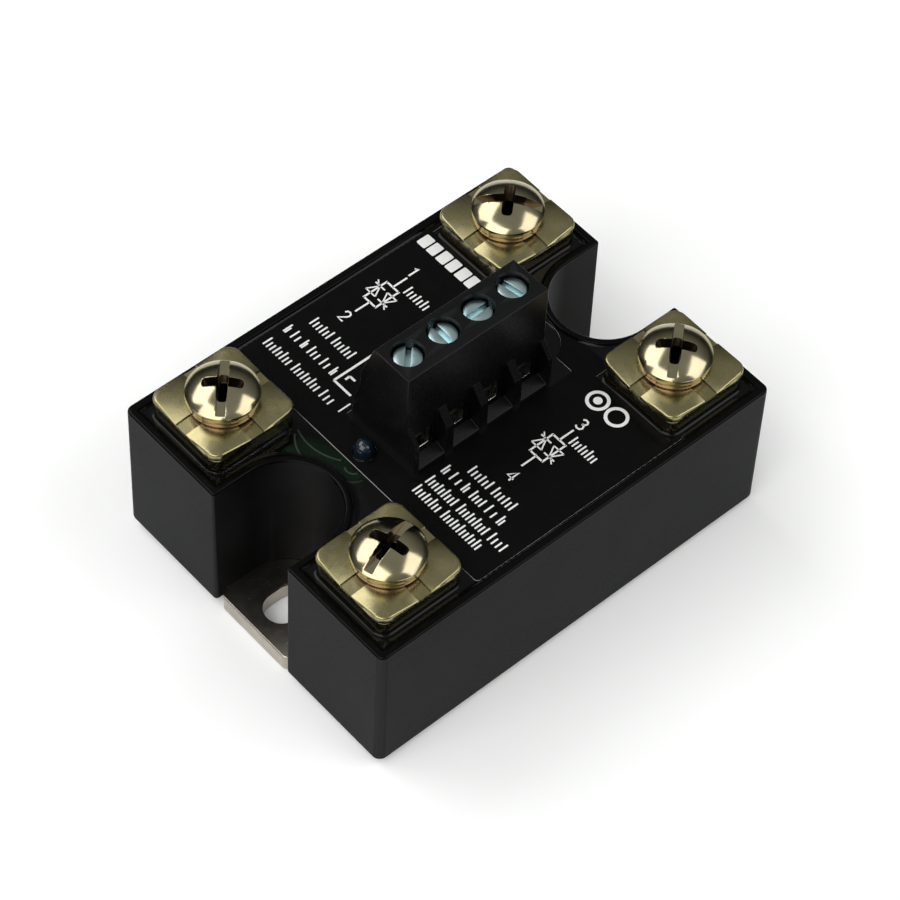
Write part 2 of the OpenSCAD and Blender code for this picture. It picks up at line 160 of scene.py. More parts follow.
class Shape:
    """Vertices and faces of one piece. Each face keeps the index of its material."""

    def __init__(self):
        self.verts, self.faces, self.marks = [], [], []

    def add(self, verts, faces, mark=0):
        start = len(self.verts)
        self.verts += [tuple(v) for v in verts]
        self.faces += [tuple(start + i for i in face) for face in faces]
        self.marks += [mark] * len(faces)
        return self

    def loft(self, rings, wrap=False, caps=True, mark=0):
        """Joins rings that have equally many points. wrap joins the last ring to the first."""
        n, count = len(rings[0]), len(rings)
        faces = []
        for k in range(count if wrap else count - 1):
            a, b = k * n, (k + 1) % count * n
            faces += [(a + i, a + (i + 1) % n, b + (i + 1) % n, b + i) for i in range(n)]
        if caps and not wrap:
            faces += [tuple(range(n))[::-1], tuple(range((count - 1) * n, count * n))]
        return self.add([p for ring in rings for p in ring], faces, mark)

    def lathe(self, cx, cy, profile, steps=64, mark=0):
        """Turns a profile of (radius, height) points. It starts and ends on the axis."""
        inner = profile[1:-1]
        rings = [[(cx + r * math.cos(a), cy + r * math.sin(a), z) for a in turn(steps)] for r, z in inner]
        verts = [p for ring in rings for p in ring] + [(cx, cy, profile[0][1]), (cx, cy, profile[-1][1])]
        bottom, top, last = len(verts) - 2, len(verts) - 1, (len(inner) - 1) * steps
        faces = []
        for k in range(len(inner) - 1):
            a, b = k * steps, (k + 1) * steps
            faces += [(a + i, a + (i + 1) % steps, b + (i + 1) % steps, b + i) for i in range(steps)]
        faces += [(bottom, (i + 1) % steps, i) for i in range(steps)]
        faces += [(top, last + i, last + (i + 1) % steps) for i in range(steps)]
        return self.add(verts, faces, mark)

    def slab(self, loops, top, bottom, lines=(), points=(), wall_mark=0):
        """Solid under the height field top and over bottom, inside loops. A loop in a loop is a hole."""
        flat, triangles = triangulate(loops, lines, points)
        n = len(flat)
        verts = [(x, y, top(x, y)) for x, y in flat] + [(x, y, bottom(x, y)) for x, y in flat]
        sides = {(t[k], t[(k + 1) % 3]) for t in triangles for k in range(3)}
        walls = [(a, a + n, b + n, b) for a, b in sides if (b, a) not in sides]
        self.add(verts, list(triangles) + [tuple(i + n for i in t[::-1]) for t in triangles])
        start = len(self.verts) - 2 * n
        self.faces += [tuple(start + i for i in wall) for wall in sorted(walls)]
        self.marks += [wall_mark] * len(walls)
        return self

    def thread(self, cx, cy, low, high, r, pitch, depth, steps=36, rows_per_turn=8):
        """Screw thread with a triangular section round the axis at (cx, cy)."""
        rows = round((high - low) / pitch * rows_per_turn)
        rings = []
        for k in range(rows + 1):
            z = low + (high - low) * k / rows
            fade = min(1, (z - low) / pitch + 0.25)
            ring = []
            for a in turn(steps):
                phase = (z / pitch - a / math.tau) % 1
                here = r - depth * (1 - fade) - depth * fade * abs(2 * phase - 1)
                ring.append((cx + here * math.cos(a), cy + here * math.sin(a), z))
            rings.append(ring)
        return self.loft(rings)


def turn(steps):
    return [math.tau * k / steps for k in range(steps)]


def inside(loops, spots):
    """Even-odd test of many points against all the loops."""
    spots = np.array(spots, float)
    result = np.zeros(len(spots), bool)
    for loop in loops:
        a = np.array(loop, float)
        b = np.roll(a, -1, axis=0)
        for (x0, y0), (x1, y1) in zip(a, b):
            if y0 == y1:
                continue
            span = (spots[:, 1] >= min(y0, y1)) & (spots[:, 1] < max(y0, y1))
            result ^= span & (spots[:, 0] < x0 + (spots[:, 1] - y0) * (x1 - x0) / (y1 - y0))
    return result


def triangulate(loops, lines=(), points=()):
    """Triangles of the region inside loops. lines are open polylines that edges follow."""
    spots, edges = [], []
    for loop in loops:
        start, n = len(spots), len(loop)
        spots += loop
        edges += [(start + i, start + (i + 1) % n) for i in range(n)]
    for line in lines:
        start = len(spots)
        spots += line
        edges += [(start + i, start + i + 1) for i in range(len(line) - 1)]
    spots += list(points)
    flat, _, faces, _, _, _ = delaunay_2d_cdt([Vector(p) for p in spots], edges, [], 0, 1e-6)
    centres = [sum((flat[i] for i in face), Vector((0, 0))) / 3 for face in faces]
    kept = [tuple(face) for face, ok in zip(faces, inside(loops, centres)) if ok]
    used = sorted({i for face in kept for i in face})
    place = {old: new for new, old in enumerate(used)}
    return [tuple(flat[i]) for i in used], [tuple(place[i] for i in face) for face in kept]


def mesh_of(name, shape, materials, scale=MM, sharp=38):
    mesh = bpy.data.meshes.new(name)
    mesh.from_pydata([(x * scale, y * scale, z * scale) for x, y, z in shape.verts], [], shape.faces)
    for material in materials:
        mesh.materials.append(material)
    mesh.polygons.foreach_set("material_index", shape.marks)
    soften(mesh, sharp)
    return mesh


def soften(mesh, sharp, dissolve=False):
    """Points all faces outwards and shades them smooth, with edges sharper than the angle kept."""
    bm = bmesh.new()
    bm.from_mesh(mesh)
    if dissolve:
        bmesh.ops.remove_doubles(bm, verts=bm.verts, dist=0.002 * MM)
        bmesh.ops.dissolve_limit(bm, angle_limit=math.radians(1), verts=bm.verts, edges=bm.edges)
    bmesh.ops.recalc_face_normals(bm, faces=bm.faces)
    bm.to_mesh(mesh)
    bm.free()
    mesh.polygons.foreach_set("use_smooth", [True] * len(mesh.polygons))
    mesh.set_sharp_from_angle(angle=math.radians(sharp))


def piece(name, mesh, body, slot, *replaced):
    """Puts a mesh in the scene as a piece that rides on a body and stands for CAD nodes."""
    obj = bpy.data.objects.new(name, mesh)
    SCENE.collection.objects.link(obj)
    normals = obj.modifiers.new("normals", "WEIGHTED_NORMAL")
    normals.keep_sharp = True
    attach(obj, body)
    if replaced:
        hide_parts(*replaced)
    return obj


def build(name, shape, body, slot, materials, *replaced, sharp=38):
    return piece(name, mesh_of(name, shape, materials, sharp=sharp), body, slot, *replaced)


def bevelled(name, node, body, slot, material, width, segments=2, sharp=32):
    """A copy of a CAD node with its edges rounded, which stands for the node."""
    mesh = frame["nodes"][node].data.copy()
    mesh.materials.clear()
    mesh.materials.append(material)
    soften(mesh, sharp, dissolve=True)
    obj = piece(name, mesh, body, slot, node)
    bevel = obj.modifiers.new("edges", "BEVEL")
    bevel.width = width * MM
    bevel.segments = segments
    bevel.limit_method = "ANGLE"
    bevel.angle_limit = math.radians(sharp)
    bevel.miter_outer = "MITER_ARC"
    obj.modifiers.move(1, 0)
    return obj


def carved(shape, cutters, bevel=0.0):
    """Cuts closed shapes out of a shape and rounds the edges that are left. Returns a mesh in metres."""
    def hold(name, part):
        obj = bpy.data.objects.new(name, mesh_of(name, part, [], scale=1))
        SCENE.collection.objects.link(obj)
        return obj

    blank = hold("blank", shape)
    tools = [hold("cutter", cutter) for cutter in cutters]
    for tool in tools:
        cut = blank.modifiers.new("cut", "BOOLEAN")
        cut.operation = "DIFFERENCE"
        cut.solver = "EXACT"
        cut.object = tool
    if bevel:
        edge = blank.modifiers.new("edges", "BEVEL")
        edge.width = bevel
        edge.segments = 2
        edge.limit_method = "ANGLE"
        edge.angle_limit = math.radians(42)
    bpy.context.view_layer.update()
    mesh = bpy.data.meshes.new_from_object(blank.evaluated_get(bpy.context.evaluated_depsgraph_get()))
    for obj in [blank] + tools:
        bpy.data.objects.remove(obj)
    mesh.transform(Matrix.Scale(MM, 4))
    return mesh


def joined(name, meshes, materials, sharp=32, shaded=None):
    """One mesh of several, in metres.

    Faces for which shaded(centre, normal) holds get the second material.
    """
    shape = Shape()
    for mesh in meshes:
        shape.add([v.co for v in mesh.vertices], [tuple(p.vertices) for p in mesh.polygons])
    mesh = mesh_of(name, shape, materials, scale=1, sharp=sharp)
    for face in mesh.polygons if shaded else ():
        face.material_index = int(shaded(face.center / MM, face.normal))
    return mesh


# ---- materials -----------------------------------------------------------------------------

class Finish:
    """A node material. Its texture sizes are millimetres on the object."""

    def __init__(self, name, roughness=0.5, metallic=0.0, **sockets):
        self.material = bpy.data.materials.new(name)
        self.material.use_nodes = True
        self.nodes, self.links = self.material.node_tree.nodes, self.material.node_tree.links
        self.shader = self.nodes["Principled BSDF"]
        self.shader.inputs["Metallic"].default_value = metallic
        self.shader.inputs["Roughness"].default_value = roughness
        for socket, value in sockets.items():
            self.shader.inputs[socket.replace("_", " ")].default_value = value
        self.coords = self.nodes.new("ShaderNodeTexCoord").outputs["Object"]
        self.normal = None

    def noise(self, size, detail=3.0, stretch=(1, 1, 1), distortion=0.0):
        mapping = self.nodes.new("ShaderNodeMapping")
        mapping.inputs["Scale"].default_value = [s / (size * MM) for s in stretch]
        self.links.new(self.coords, mapping.inputs["Vector"])
        texture = self.nodes.new("ShaderNodeTexNoise")
        texture.inputs["Scale"].default_value = 1.0
        texture.inputs["Detail"].default_value = detail
        texture.inputs["Distortion"].default_value = distortion
        self.links.new(mapping.outputs["Vector"], texture.inputs["Vector"])
        return texture.outputs["Fac"]

    def axis(self, name):
        split = self.nodes.new("ShaderNodeSeparateXYZ")
        self.links.new(self.coords, split.inputs[0])
        return split.outputs[name]

    def pointiness(self):
        return self.nodes.new("ShaderNodeNewGeometry").outputs["Pointiness"]

    def ramp(self, value, low, high, start=0.0, end=1.0):
        """value from low to high becomes start to end."""
        node = self.nodes.new("ShaderNodeMapRange")
        for socket, number in zip(("From Min", "From Max", "To Min", "To Max"), (low, high, start, end)):
            node.inputs[socket].default_value = number
        self.links.new(value, node.inputs["Value"])
        return node.outputs["Result"]

    def maths(self, operation, a, b):
        node = self.nodes.new("ShaderNodeMath")
        node.operation = operation
        for socket, value in zip(node.inputs, (a, b)):
            if isinstance(value, (int, float)):
                socket.default_value = value
            else:
                self.links.new(value, socket)
        return node.outputs[0]

    def distance(self, x, y):
        """Distance in millimetres from the upright line through (x, y)."""
        dx = self.maths("SUBTRACT", self.axis("X"), x * MM)
        dy = self.maths("SUBTRACT", self.axis("Y"), y * MM)
        squares = self.maths("ADD", self.maths("MULTIPLY", dx, dx), self.maths("MULTIPLY", dy, dy))
        return self.maths("DIVIDE", self.maths("SQRT", squares, 0.0), MM)

    def blend(self, factor, a, b):
        """Colour a where factor is 0 and b where it is 1."""
        mix = self.nodes.new("ShaderNodeMix")
        mix.data_type = "RGBA"
        self.links.new(factor, mix.inputs["Factor"])
        for socket, value in (("A", a), ("B", b)):
            target = [s for s in mix.inputs if s.name == socket and s.type == "RGBA"][0]
            if isinstance(value, tuple):
                target.default_value = (*value, 1)
            else:
                self.links.new(value, target)
        return [s for s in mix.outputs if s.type == "RGBA"][0]

    def set(self, socket, value):
        self.links.new(value, self.shader.inputs[socket])
        return self

    def bump(self, height, depth):
        """Adds a relief that is depth millimetres high."""
        node = self.nodes.new("ShaderNodeBump")
        node.inputs["Distance"].default_value = depth * MM
        self.links.new(height, node.inputs["Height"])
        if self.normal is not None:
            self.links.new(self.normal, node.inputs["Normal"])
        self.normal = node.outputs["Normal"]
        self.set("Normal", self.normal)
        return self


def plated(name, colour, shade, rough, grain=0.09, depth=0.0012, patch=2.2, stretch=(1, 1, 1)):
    """Plated metal: cloudy tint, faint drawing marks and small bright scuffs."""
    f = Finish(name, metallic=1.0)
    tone = f.blend(f.ramp(f.noise(patch, 4), 0.3, 0.72), shade, colour)
    scuff = f.ramp(f.noise(patch * 0.3, 6, stretch), 0.66, 0.78, 0.0, 0.4)
    f.set("Base Color", f.blend(scuff, tone, tuple(min(1.0, c * 1.2) for c in colour)))
    smear = f.noise(patch * 0.45, 5, distortion=0.6)
    f.set("Roughness", f.ramp(smear, 0.3, 0.75, rough * 0.85, rough * 1.2))
    f.bump(f.noise(grain, 4, stretch), depth)
    f.bump(f.noise(patch * 0.9, 2), depth * 2)
    return f.material


def moulded(name, colour, light, rough, grain=0.12, depth=0.006, specular=0.5, **sockets):
    """Moulded plastic with a fine spark-eroded texture, and a painted highlight: lighter colour on its
    convex edges.
    """
    f = Finish(name, **sockets)
    f.shader.inputs["Specular IOR Level"].default_value = specular
    speck = f.noise(grain, 3)
    cloud = f.noise(6.0, 3)
    tone = f.blend(f.ramp(cloud, 0.35, 0.7), colour, light)
    # painted highlight: convex edges, found by pointiness, are lighter, up to 2.2 times the light tone
    edge = f.ramp(f.pointiness(), 0.54, 0.64)
    f.set("Base Color", f.blend(edge, tone, tuple(min(1.0, c * 2.2) for c in light)))
    f.set("Roughness", f.ramp(speck, 0.3, 0.7, rough * 0.85, rough * 1.15))
    f.bump(speck, depth)
    return f


# ---- pieces --------------------------------------------------------------------------------

def case_quadrant(inset, notch_inset):
    """A quarter of the case's outline, from a notch's deepest point to the middle of a long side."""
    half_x, half_y = CASE_HIGH.x - inset, CASE_HIGH.y - inset
    notch = NOTCH_R + notch_inset
    corner, mouth = max(CORNER_R - inset, 0.15), max(MOUTH_R - inset, 0.12)
    points = arc(NOTCH_X, 0, notch, 180, 90, 24)
    points += [(STEP_X - 0.02, notch), (STEP_X + 0.02, notch)]
    points += arc(half_x - mouth, notch + mouth, mouth, -90, 0, 5)
    points += arc(half_x - corner, half_y - corner, corner, 0, 90, 7)
    return points


def case_loop(inset, notch_inset=None):
    """Outline of the case with its two notches, inset from the outer faces."""
    quarter = case_quadrant(inset, inset * NOTCH_WALL / WALL if notch_inset is None else notch_inset)
    loop = quarter + [(-x, y) for x, y in quarter[::-1]][:-1]
    return loop + [(-x, -y) for x, y in loop]


def case_shell(plastic):
    outline = case_loop(0)
    in_notch = [abs(x) < STEP_X and abs(y) < NOTCH_R + 0.1 for x, y in outline]
    foot = [PLATE_HIGH.z if notch else CASE_LOW.z for notch in in_notch]
    rim = CASE_HIGH.z
    rings = []

    def ring(inset, heights):
        rings.append([(x, y, z) for (x, y), z in zip(case_loop(inset), heights)])

    for t in (0, 30, 60, 90):
        a = math.radians(t)
        ring(CASE_FOOT_R * (1 - math.sin(a)), [z + CASE_FOOT_R * (1 - math.cos(a)) for z in foot])
    for t in (0, 22.5, 45, 67.5, 90):
        a = math.radians(t)
        ring(DRAFT + RIM_R * (1 - math.cos(a)), [rim - RIM_R * (1 - math.sin(a))] * len(foot))
    for t in (90, 60, 30, 0):
        a = math.radians(t)
        ring(WALL - RIM_INNER_R * (1 - math.cos(a)), [rim - RIM_INNER_R * (1 - math.sin(a))] * len(foot))
    ring(WALL, [z + 0.3 for z in foot])
    ring(WALL - 0.1, foot)
    shape = Shape().loft(rings, wrap=True)
    return build("case_shell_body", shape, "root", "case_plastic", [plastic], "case_shell")


def rounded_gap(x, y, half_x, half_y, r):
    """How far a point is outside a rounded rectangle centred on the origin; negative inside."""
    qx, qy = abs(x) - (half_x - r), abs(y) - (half_y - r)
    return math.hypot(max(qx, 0), max(qy, 0)) + min(max(qx, qy), 0) - r


def resin_gap(x, y, block=True):
    """Distance from the nearest thing that stands in the resin, with or without the terminal block."""
    ax = abs(x)
    gaps = [RESIN_HIGH.x - ax, RESIN_HIGH.y - abs(y)]
    notch = NOTCH_R + NOTCH_WALL + RESIN_GAP
    gaps.append(math.hypot(ax - NOTCH_X, y) - notch if ax < NOTCH_X else abs(y) - notch)
    for i in TERMINALS:
        low, high = box(f"output_terminal_{i}")
        pad = (high.y - low.y) / 2
        cx, cy = terminal_centre(i)
        gaps.append(rounded_gap(x - cx, y - cy, pad, pad, PAD_R))
    if block:
        cx, cy = block_centre()
        gaps.append(rounded_gap(x - cx, y - cy, BLOCK_HIGH.x - cx, BLOCK_HIGH.y - cy, 0.01))
    for i in LEDS:
        spot = middle(f"led_lens_{i}")
        gaps.append(math.hypot(x - spot.x, y - spot.y) - led_radius())
    return max(0.0, min(gaps))


def terminal_centre(i):
    spot = middle(f"output_screw_{i}")
    return spot.x, spot.y


def block_centre():
    return (BLOCK_LOW.x + BLOCK_HIGH.x) / 2, (BLOCK_LOW.y + BLOCK_HIGH.y) / 2


def led_radius():
    low, high = box("led_lens_1")
    return (high.x - low.x) / 2 - LED_FLANGE


def potting_resin(resin):
    """The potting's surface creeps up everything that it touches but the terminal block."""
    pad = (box("output_terminal_1")[1].y - box("output_terminal_1")[0].y) / 2
    bx, by = block_centre()
    half_x, half_y = BLOCK_HIGH.x - bx, BLOCK_HIGH.y - by

    def borders(gap):
        r = led_radius() + gap
        loops = [case_loop(WALL + RESIN_GAP + gap, NOTCH_WALL + RESIN_GAP + gap)]
        loops += [rounded_rect(*terminal_centre(i), pad + gap, pad + gap, PAD_R + gap) for i in TERMINALS]
        loops.append(rounded_rect(bx, by, half_x + gap, half_y + gap, 0.02 + gap, 4))
        loops += [circle(middle(f"led_lens_{i}").x, middle(f"led_lens_{i}").y, r, 32) for i in LEDS]
        return loops

    def dense(loop, step=0.8):
        """The loop with its long edges divided."""
        result = []
        for (x0, y0), (x1, y1) in zip(loop, loop[1:] + loop[:1]):
            parts = max(1, round(math.hypot(x1 - x0, y1 - y0) / step))
            result += [(x0 + (x1 - x0) * k / parts, y0 + (y1 - y0) * k / parts) for k in range(parts)]
        return result

    points = []
    for gap in (0.06, 0.16, 0.32, 0.6, 1.0):
        for loop in borders(gap):
            points += [p for p in dense(loop) if resin_gap(*p) > gap - 0.03]
    span_x, span_y = math.floor(RESIN_HIGH.x), math.floor(RESIN_HIGH.y)
    for ix in range(-span_x, span_x + 1, 2):
        for iy in range(-span_y, span_y + 1, 2):
            if resin_gap(ix, iy) > 1.3:
                points.append((ix, iy))

    def surface(x, y):
        return RESIN_HIGH.z + MENISCUS_H * math.exp(-resin_gap(x, y, block=False) / MENISCUS_L)

    edges = [dense(loop) for loop in borders(0.0)]
    shape = Shape().slab(edges, surface, lambda x, y: RESIN_LOW.z, points=points)
    return build("potting", shape, "root", "resin", [resin], "potting_resin", sharp=60)


# Board tracks in sight: centre of each curve, radius, and the angles between which it runs.
TRACKS = [
    ((-8.2, 6.6), 7.0, 160, 216),
    ((-12.0, 5.2), 4.9, 134, 172),
    ((-13.3, 0.9), 1.05, 145, 250),
    ((-13.4, 0.9), 2.15, 193, 258),
]


def board_tracks(mask):
    """Pale curved tracks on the board that show through the resin beside the left notch."""
    shape = Shape()
    low, high = BOARD_HIGH.z - 0.01, BOARD_HIGH.z + 0.03
    for (x, y), r, start, end in TRACKS:
        ribbon(shape, arc(x, y, r, start, end, 24), 0.22, low, high)
    return build("board_tracks", shape, "root", "board_laminate", [mask])


LABEL_R = 1.2
LABEL_GAP = 0.15            # space between the label and the notch wall
PAD_CUT = 6.1               # half side of the label's cut-out round each terminal
WINDOW_X = (-10.31, 13.56)
WINDOW_Y = (-5.85, 6.05)
LED_HOLE_R = 1.45
LED_CUT_R = 3.7


def label_loops():
    """Outline of the label and of the openings in it."""
    left, right, top = LABEL_LOW.x, LABEL_HIGH.x, LABEL_HIGH.y
    notch = NOTCH_R + NOTCH_WALL + LABEL_GAP
    tx, ty = terminal_centre(1)
    cut_x, cut_low, cut_high = tx - PAD_CUT, ty - PAD_CUT, ty + PAD_CUT
    end = math.degrees(math.asin((cut_high - top + LABEL_R) / LABEL_R))
    half = arc(NOTCH_X, 0, notch, 180, math.degrees(math.acos((right - NOTCH_X) / notch)), 8)
    half += [(right, cut_low), (cut_x, cut_low), (cut_x, cut_high)]
    half += arc(right - LABEL_R, top - LABEL_R, LABEL_R, end, 90, 6)
    half += arc(left + LABEL_R * 0.4, top - LABEL_R * 0.4, LABEL_R * 0.4, 90, 180, 5)
    outline = half + [(x, -y) for x, y in half[:0:-1]]
    small, large = (middle(f"led_lens_{i}") for i in LEDS)
    reach = math.sqrt(LED_CUT_R ** 2 - (WINDOW_X[1] - large.x) ** 2)
    bend = math.degrees(math.atan2(reach, WINDOW_X[1] - large.x))
    r = 0.4
    window = arc(WINDOW_X[1] - r, WINDOW_Y[0] + r, r, -90, 0, 4)
    window += arc(large.x, large.y, LED_CUT_R, -bend, bend, 20)
    window += arc(WINDOW_X[1] - r, WINDOW_Y[1] - r, r, 0, 90, 4)
    window += arc(WINDOW_X[0] + r, WINDOW_Y[1] - r, r, 90, 180, 4)
    window += arc(WINDOW_X[0] + r, WINDOW_Y[0] + r, r, 180, 270, 4)
    return [outline, window, circle(small.x, small.y, LED_HOLE_R, 40)]


def label(film, core):
    """A printed black face with white cut edges, a painted highlight for the light that the cut edges catch.
    """
    low, high = LABEL_LOW.z, LABEL_HIGH.z
    skin = 0.02
    shape = Shape()
    loops = label_loops()
    # the side walls take the second material, the painted edge highlight
    shape.slab(loops, lambda x, y: high - skin, lambda x, y: low, wall_mark=1)
    shape.slab(loops, lambda x, y: high, lambda x, y: high - skin)
    return build("label_film", shape, "root", "label_film", [film, core], "label")


def stroke(shape, a, b, width, low, high):
    """A straight printed line from a to b with square ends."""
    (x0, y0), (x1, y1) = a, b
    length = math.hypot(x1 - x0, y1 - y0)
    nx, ny = -(y1 - y0) / length * width / 2, (x1 - x0) / length * width / 2
    loop = [(x0 - nx, y0 - ny), (x1 - nx, y1 - ny), (x1 + nx, y1 + ny), (x0 + nx, y0 + ny)]
    shape.loft([at_height(loop, low), at_height(loop, high)])


def ribbon(shape, points, width, low, high, closed=False):
    """A printed line of even width along points."""
    count = len(points)
    left, right = [], []
    for k, (x, y) in enumerate(points):
        x0, y0 = points[k - 1] if closed or k else points[k]
        x1, y1 = points[(k + 1) % count] if closed or k < count - 1 else points[k]
        length = math.hypot(x1 - x0, y1 - y0)
        nx, ny = -(y1 - y0) / length * width / 2, (x1 - x0) / length * width / 2
        left.append((x + nx, y + ny))
        right.append((x - nx, y - ny))
    rings = []
    for (xl, yl), (xr, yr) in zip(left, right):
        rings.append([(xl, yl, low), (xr, yr, low), (xr, yr, high), (xl, yl, high)])
    shape.loft(rings, wrap=closed)


# Printing on the label.
INK_W = 0.24
INK_H = 0.02
TICK_W = 0.22
TICK_PITCH = 0.5
TICK_HEIGHTS = (1.0, 0.72, 0.72, 0.9, 0.72)     # parts of the row's height, used in turn
WORD_GAP = 0.75
BAR_SPOT = (12.6, 20.3)
BAR_COUNT = 6
BAR_PITCH = 1.65
BAR_H = 1.85
RINGS = [((12.9, -10.8), 0.55), ((12.9, -13.9), 0.0)]      # centre, and radius of the dot inside
RING_R = 1.25
RING_W = 0.42
# Printed lines: where each starts (x, y), how far it runs towards -Y, its height, and the relative
# width of each group of marks in it.
WORD_ROWS = [
    ((-5.0, 18.8), 6.9, 1.45, (3, 3)),
    ((-8.0, 19.9), 8.6, 1.45, (1, 2, 1, 3, 2, 1)),
    ((-11.0, 19.9), 11.6, 1.45, (5, 5, 2)),
    ((6.3, 15.4), 3.6, 1.45, (3,)),
    ((-5.2, -8.9), 7.0, 1.45, (3, 3)),
    ((-7.4, -6.9), 9.8, 1.45, (1, 2, 1, 3, 2, 1)),
    ((-9.7, -6.9), 12.5, 1.5, (4, 4, 2)),
    ((-11.6, -6.9), 10.6, 1.45, (4, 6)),
    ((6.2, -13.1), 3.8, 1.45, (3,)),
]
DIGITS = {
    1: [[(0.28, 1.22), (0.62, 1.6), (0.62, 0.0)]],
    2: [[(0.08, 1.2), (0.2, 1.48), (0.5, 1.6), (0.82, 1.46), (0.9, 1.16), (0.78, 0.86),
         (0.08, 0.05), (0.95, 0.05)]],
    3: [[(0.08, 1.36), (0.34, 1.58), (0.7, 1.54), (0.88, 1.26), (0.74, 0.94), (0.42, 0.86)],
        [(0.42, 0.86), (0.8, 0.74), (0.94, 0.42), (0.76, 0.1), (0.38, 0.02), (0.06, 0.24)]],
    4: [[(0.72, 0.0), (0.72, 1.6), (0.02, 0.46), (0.98, 0.46)]],
}
DIGIT_SPOTS = {1: (8.5, 17.5), 2: (-1.9, 17.5), 3: (8.4, -11.7), 4: (-2.4, -12.0)}
SYMBOLS = [(4.2, 16.75), (4.0, -12.15)]


def label_print(ink):
    """White marks on the label.

    Rows of ticks stand in place of words, and bars and rings in place of other marks. The terminal numbers
    and a switch symbol for each pole are drawn.
    """
    low, high = LABEL_HIGH.z, LABEL_HIGH.z + INK_H
    shape = Shape()

    def line(*points, width=INK_W):
        for a, b in zip(points, points[1:]):
            stroke(shape, a, b, width, low, high)

    def bar(x, y, length, height):
        """A solid mark that starts at (x, y), runs towards -Y and is height tall towards +X."""
        r = min(0.18, length / 3, height / 3)
        loop = rounded_rect(x + height / 2, y - length / 2, height / 2, length / 2, r, 3)
        shape.loft([at_height(loop, low), at_height(loop, high)])

    for (x, y), run, height, words in WORD_ROWS:
        share = (run - WORD_GAP * (len(words) - 1)) / sum(words)
        for word in words:
            count = max(2, round(word * share / TICK_PITCH))
            step = (word * share - TICK_W) / (count - 1)
            for k in range(count):
                bar(x, y - k * step, TICK_W, height * TICK_HEIGHTS[k % len(TICK_HEIGHTS)])
            y -= word * share + WORD_GAP
    for k in range(BAR_COUNT):
        bar(BAR_SPOT[0], BAR_SPOT[1] - k * BAR_PITCH, 1.3 if k % 2 else 1.4, BAR_H)
    for (cx, cy), inner in RINGS:
        ribbon(shape, circle(cx, cy, RING_R, 36), RING_W, low, high, closed=True)
        if inner:
            dot = circle(cx, cy, inner, 24)
            shape.loft([at_height(dot, low), at_height(dot, high)])
    for digit, (x, y) in DIGIT_SPOTS.items():
        for path in DIGITS[digit]:
            ribbon(shape, [(x + up, y - across) for across, up in path], INK_W, low, high)
    for cx, cy in SYMBOLS:
        switch_symbol(line, cx, cy)
    line((-8.15, 7.6), (-8.15, 10.55), (-2.5, 10.55), width=0.3)
    line((-7.1, 9.8), (-6.4, 9.8), (-6.4, 8.9), width=0.3)
    line((-10.7, 6.75), (-8.9, 6.75), width=0.2)
    return build("label_print", shape, "root", "label_film", [ink])


def switch_symbol(line, cx, cy):
    """Two thyristors back to back in a loop with a lead at each end."""
    half_l, half_w, lead = 1.75, 1.05, 2.2
    line((cx - half_l - lead, cy), (cx - half_l, cy))
    line((cx + half_l, cy), (cx + half_l + lead, cy))
    line((cx - half_l, cy - half_w), (cx - half_l, cy + half_w))
    line((cx + half_l, cy - half_w), (cx + half_l, cy + half_w))
    for side in (-1, 1):
        y = cy + side * half_w
        line((cx - half_l - INK_W / 2, y), (cx + half_l + INK_W / 2, y))
        tip, back, half = cx + side * 0.75, cx - side * 0.75, 0.82
        line((tip, y - half), (tip, y + half), width=0.2)
        line((back, y - half), (tip, y), (back, y + half), (back, y - half), width=0.18)
        line((tip, y + side * 0.3), (tip + side * 0.5, y + side * 0.9), width=0.16)


def output_terminal(i, metal):
    """Fixed terminal: a bored square head, its boss and the strap that goes down to the power stage."""
    return bevelled(f"terminal_head_{i}", f"output_terminal_{i}", "root", "terminal_nickel", metal, 0.22, 3)


def fillet(gap, r):
    """Drop of a rounded edge at this distance from it."""
    return r - math.sqrt(max(0.0, r * r - (r - min(gap, r)) ** 2))


def clamp_plate(i, metal):
    low, high = box(f"clamp_plate_{i}")
    cx, cy = terminal_centre(i)
    half = (high.x - low.x) / 2
    under = high.z - CLAMP_T
    wall = 0.1

    def gap(x, y):
        return -rounded_gap(x - cx, y - cy, half, half, CLAMP_R)

    def channel(x, y, width):
        """1 in a groove of that width along either axis, 0 outside it, and between them on its walls."""
        near = min(abs(x - cx), abs(y - cy))
        return min(1.0, max(0.0, (width / 2 - near) / wall + 0.5))

    def top(x, y):
        return high.z - fillet(gap(x, y), CLAMP_EDGE_R) - GROOVE_D * channel(x, y, GROOVE_W)

    def bottom(x, y):
        rib = channel(x, y, RIB_W) if gap(x, y) > RIB_END else 0.0
        return under + fillet(gap(x, y), CLAMP_FOOT_R) - GROOVE_D * rib

    loops = [rounded_rect(cx, cy, half, half, CLAMP_R, 12), circle(cx, cy, CLAMP_HOLE_R, 40)]
    points = []
    for inset in (0.03, 0.1, 0.19, 0.3, 0.6):
        points += rounded_rect(cx, cy, half - inset, half - inset, CLAMP_R - inset, 12)
    lines = []
    for width in (GROOVE_W, RIB_W):
        for at in (width / 2 - wall / 2, width / 2 + wall / 2):
            for side in (-at, at):
                lines.append([(cx + side, cy - half), (cx + side, cy + half)])
                lines.append([(cx - half, cy + side), (cx + half, cy + side)])
    shape = Shape().slab(loops, top, bottom, lines=lines, points=points)
    return build(f"clamp_body_{i}", shape, f"output_clamp_{i}", "clamp_nickel", [metal],
                 f"clamp_plate_{i}", sharp=50)


